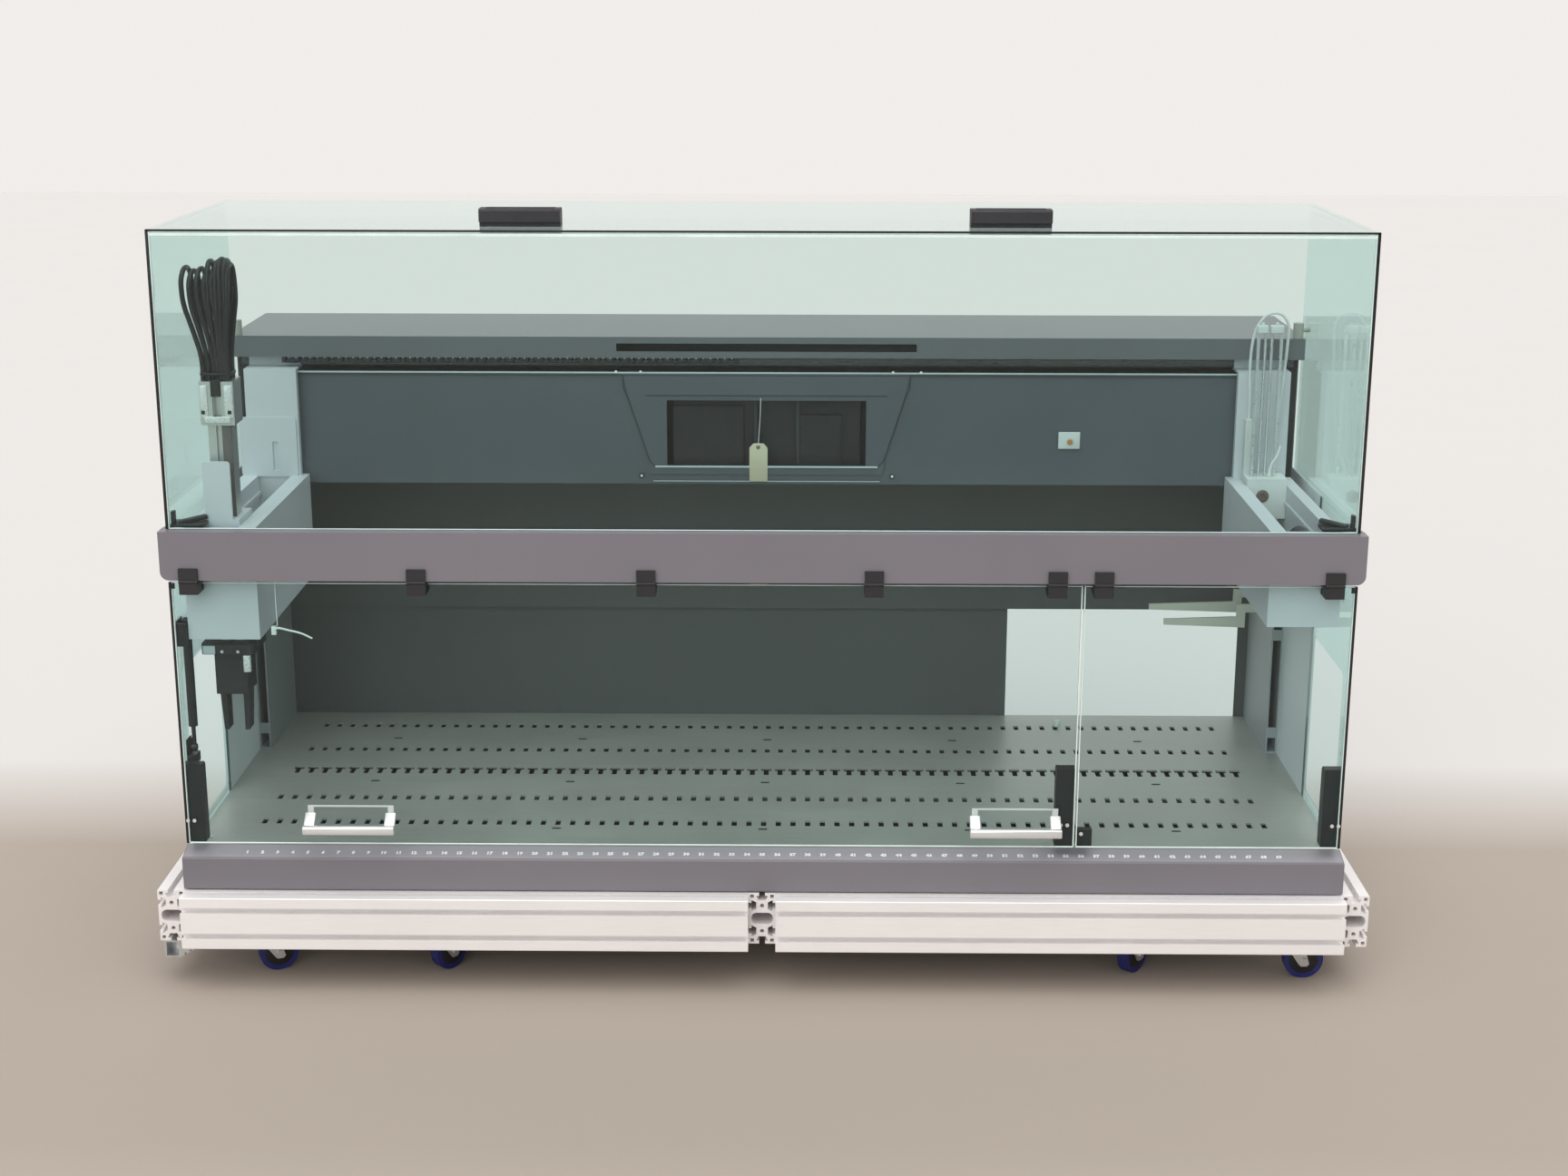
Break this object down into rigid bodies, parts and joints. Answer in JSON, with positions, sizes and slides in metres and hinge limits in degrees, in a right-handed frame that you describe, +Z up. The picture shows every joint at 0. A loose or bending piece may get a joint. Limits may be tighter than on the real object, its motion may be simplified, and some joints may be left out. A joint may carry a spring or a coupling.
{
  "type": "liquid handling robot",
  "caption": "Bench robot that moves liquids and plates over a gridded worktable, under a tinted hood and lift-up doors, on a rolling frame of slotted aluminium profile.",
  "frame": {"origin": "on the floor, under the middle of the rolling frame", "axes": "+X to the right as seen from the doors, +Y to the rear, +Z up"},
  "size_m": [2, 0.8, 1.2775],
  "materials": {
    "anodised_profile": "satin anodised",
    "zinc_steel": "zinc plated",
    "blue_tyre": "matte",
    "foot_rubber": "matte",
    "pan_grey": "satin",
    "deck_steel": "brushed",
    "warm_dark_grey": "fine texture",
    "tinted_sheet": "clear, grey-green tint",
    "pale_grey": "satin",
    "mid_grey": "satin",
    "cream": "satin",
    "guide_steel": "ground",
    "black_plastic": "matte",
    "white_plastic": "satin",
    "handle_aluminium": "satin",
    "rod_chrome": "polished",
    "cable_black": "matte",
    "tip_steel": "satin"
  },
  "bodies": {
    "workstation": {"dolly_rails": "anodised_profile", "corner_bracket": "zinc_steel", "caster_plates": "zinc_steel", "instrument_feet": "foot_rubber", "base_pan": "pan_grey", "worktable_deck": "deck_steel", "front_lip": "warm_dark_grey", "side_windows": "tinted_sheet", "side_rear_panels": "pale_grey", "rear_posts": "pale_grey", "rear_panel": "mid_grey", "cable_support_arms": "cream", "beam_body": "mid_grey", "beam_top_cover": "pale_grey", "beam_front_cover": "mid_grey", "x_guide_rail": "guide_steel", "cable_chain": "black_plastic", "control_module": "black_plastic", "fascia": "warm_dark_grey", "hinge_clips_fixed": "black_plastic", "gas_spring_anchor": "black_plastic", "hood_pivots": "white_plastic"},
    "door_left": {"door_left_glass": "tinted_sheet", "door_left_fittings": "black_plastic", "door_handles": "handle_aluminium"},
    "door_right": {"door_right_glass": "tinted_sheet", "door_right_fittings": "black_plastic"},
    "spring_rod": {"gas_spring_rod": "rod_chrome"},
    "spring_barrel": {"gas_spring_barrel": "black_plastic"},
    "hood": {"hood_panels": "tinted_sheet", "hood_handles": "black_plastic"},
    "liquid_arm": {"liquid_arm_frame": "pale_grey", "liquid_arm_drive": "black_plastic"},
    "liquid_head": {"liquid_carriage": "white_plastic", "liquid_tubing": "white_plastic"},
    "liquid_tip_a": {"liquid_tip_1": "tip_steel"},
    "liquid_tip_b": {"liquid_tip_2": "tip_steel"},
    "gripper_arm": {"gripper_arm_frame": "pale_grey"},
    "gripper_slider": {"gripper_carriage": "pale_grey"},
    "gripper_lift": {"gripper_column": "handle_aluminium", "gripper_cables": "cable_black"},
    "gripper_wrist": {"gripper_head": "black_plastic"},
    "finger_left": {"gripper_finger_left": "black_plastic"},
    "finger_right": {"gripper_finger_right": "black_plastic"},
    "caster_1": {"caster_fork_1": "zinc_steel"},
    "wheel_1": {"caster_wheel_1": "blue_tyre"},
    "caster_2": {"caster_fork_2": "zinc_steel"},
    "wheel_2": {"caster_wheel_2": "blue_tyre"},
    "caster_3": {"caster_fork_3": "zinc_steel"},
    "wheel_3": {"caster_wheel_3": "blue_tyre"},
    "caster_4": {"caster_fork_4": "zinc_steel"},
    "wheel_4": {"caster_wheel_4": "blue_tyre"},
    "caster_5": {"caster_fork_5": "zinc_steel"},
    "wheel_5": {"caster_wheel_5": "blue_tyre"},
    "caster_6": {"caster_fork_6": "zinc_steel"},
    "wheel_6": {"caster_wheel_6": "blue_tyre"},
    "caster_7": {"caster_fork_7": "zinc_steel"},
    "wheel_7": {"caster_wheel_7": "blue_tyre"},
    "caster_8": {"caster_fork_8": "zinc_steel"},
    "wheel_8": {"caster_wheel_8": "blue_tyre"}
  },
  "joints": [
    {"name": "door_left_hinge", "type": "hinge", "parent": "workstation", "child": "door_left", "pos_m": [0, -0.385, 0.698], "axis": [-1, 0, 0], "range_deg": [0, 95]},
    {"name": "spring_foot_pivot", "type": "hinge", "parent": "workstation", "child": "spring_rod", "pos_m": [-0.935, -0.315, 0.398], "axis": [1, 0, 0], "range_deg": [0, 34]},
    {"name": "spring_stroke", "type": "slide", "parent": "spring_rod", "child": "spring_barrel", "axis": [0, 0, 1], "range_m": [0, 0.071]},
    {"name": "door_right_hinge", "type": "hinge", "parent": "workstation", "child": "door_right", "pos_m": [0.729, -0.385, 0.698], "axis": [-1, 0, 0], "range_deg": [0, 95]},
    {"name": "hood_hinge", "type": "hinge", "parent": "workstation", "child": "hood", "pos_m": [0, 0.092, 1.033], "axis": [-1, 0, 0], "range_deg": [0, 60]},
    {"name": "liquid_arm_x", "type": "slide", "parent": "workstation", "child": "liquid_arm", "axis": [1, 0, 0], "range_m": [-1.45, 0]},
    {"name": "liquid_head_y", "type": "slide", "parent": "liquid_arm", "child": "liquid_head", "axis": [0, -1, 0], "range_m": [0, 0.255]},
    {"name": "liquid_tip_a_z", "type": "slide", "parent": "liquid_head", "child": "liquid_tip_a", "axis": [0, 0, -1], "range_m": [0, 0.205]},
    {"name": "liquid_tip_b_z", "type": "slide", "parent": "liquid_head", "child": "liquid_tip_b", "axis": [0, 0, -1], "range_m": [0, 0.205]},
    {"name": "gripper_arm_x", "type": "slide", "parent": "workstation", "child": "gripper_arm", "axis": [1, 0, 0], "range_m": [0, 1.45]},
    {"name": "gripper_y", "type": "slide", "parent": "gripper_arm", "child": "gripper_slider", "axis": [0, 1, 0], "range_m": [0, 0.28]},
    {"name": "gripper_z", "type": "slide", "parent": "gripper_slider", "child": "gripper_lift", "axis": [0, 0, -1], "range_m": [0, 0.145]},
    {"name": "gripper_turn", "type": "hinge", "parent": "gripper_lift", "child": "gripper_wrist", "pos_m": [-0.865, -0.28, 0.578], "axis": [0, 0, 1], "range_deg": [-180, 180]},
    {"name": "finger_left_slide", "type": "slide", "parent": "gripper_wrist", "child": "finger_left", "axis": [1, 0, 0], "range_m": [-0.008, 0.012]},
    {"name": "finger_right_slide", "type": "slide", "parent": "gripper_wrist", "child": "finger_right", "axis": [-1, 0, 0], "range_m": [-0.008, 0.012]},
    {"name": "caster_1_swivel", "type": "hinge", "parent": "workstation", "child": "caster_1", "pos_m": [-0.84, -0.312, 0.033], "axis": [0, 0, 1], "continuous": true},
    {"name": "wheel_1_roll", "type": "hinge", "parent": "caster_1", "child": "wheel_1", "pos_m": [-0.82006, -0.3027, 0.033], "axis": [-0.4226, 0.9063, 0], "continuous": true},
    {"name": "caster_2_swivel", "type": "hinge", "parent": "workstation", "child": "caster_2", "pos_m": [-0.546, -0.312, 0.033], "axis": [0, 0, 1], "continuous": true},
    {"name": "wheel_2_roll", "type": "hinge", "parent": "caster_2", "child": "wheel_2", "pos_m": [-0.53186, -0.29515, 0.033], "axis": [-0.766, 0.6428, 0], "continuous": true},
    {"name": "caster_3_swivel", "type": "hinge", "parent": "workstation", "child": "caster_3", "pos_m": [0.611, -0.312, 0.033], "axis": [0, 0, 1], "continuous": true},
    {"name": "wheel_3_roll", "type": "hinge", "parent": "caster_3", "child": "wheel_3", "pos_m": [0.62514, -0.29515, 0.033], "axis": [-0.766, 0.6428, 0], "continuous": true},
    {"name": "caster_4_swivel", "type": "hinge", "parent": "workstation", "child": "caster_4", "pos_m": [0.886, -0.312, 0.033], "axis": [0, 0, 1], "continuous": true},
    {"name": "wheel_4_roll", "type": "hinge", "parent": "caster_4", "child": "wheel_4", "pos_m": [0.908, -0.312, 0.033], "axis": [0, 1, 0], "continuous": true},
    {"name": "caster_5_swivel", "type": "hinge", "parent": "workstation", "child": "caster_5", "pos_m": [-0.84, 0.312, 0.033], "axis": [0, 0, 1], "continuous": true},
    {"name": "wheel_5_roll", "type": "hinge", "parent": "caster_5", "child": "wheel_5", "pos_m": [-0.82006, 0.3027, 0.033], "axis": [0.4226, 0.9063, 0], "continuous": true},
    {"name": "caster_6_swivel", "type": "hinge", "parent": "workstation", "child": "caster_6", "pos_m": [-0.546, 0.312, 0.033], "axis": [0, 0, 1], "continuous": true},
    {"name": "wheel_6_roll", "type": "hinge", "parent": "caster_6", "child": "wheel_6", "pos_m": [-0.53186, 0.29515, 0.033], "axis": [0.766, 0.6428, 0], "continuous": true},
    {"name": "caster_7_swivel", "type": "hinge", "parent": "workstation", "child": "caster_7", "pos_m": [0.611, 0.312, 0.033], "axis": [0, 0, 1], "continuous": true},
    {"name": "wheel_7_roll", "type": "hinge", "parent": "caster_7", "child": "wheel_7", "pos_m": [0.62514, 0.29515, 0.033], "axis": [0.766, 0.6428, 0], "continuous": true},
    {"name": "caster_8_swivel", "type": "hinge", "parent": "workstation", "child": "caster_8", "pos_m": [0.886, 0.312, 0.033], "axis": [0, 0, 1], "continuous": true},
    {"name": "wheel_8_roll", "type": "hinge", "parent": "caster_8", "child": "wheel_8", "pos_m": [0.908, 0.312, 0.033], "axis": [0, 1, 0], "continuous": true}
  ],
  "couplings": [
    {"joint": "spring_foot_pivot", "follows": "door_left_hinge", "ratio": 0.35707},
    {"joint": "spring_stroke", "follows": "door_left_hinge", "m_per_rad": 0.04241},
    {"joint": "finger_right_slide", "follows": "finger_left_slide", "ratio": 1}
  ]
}
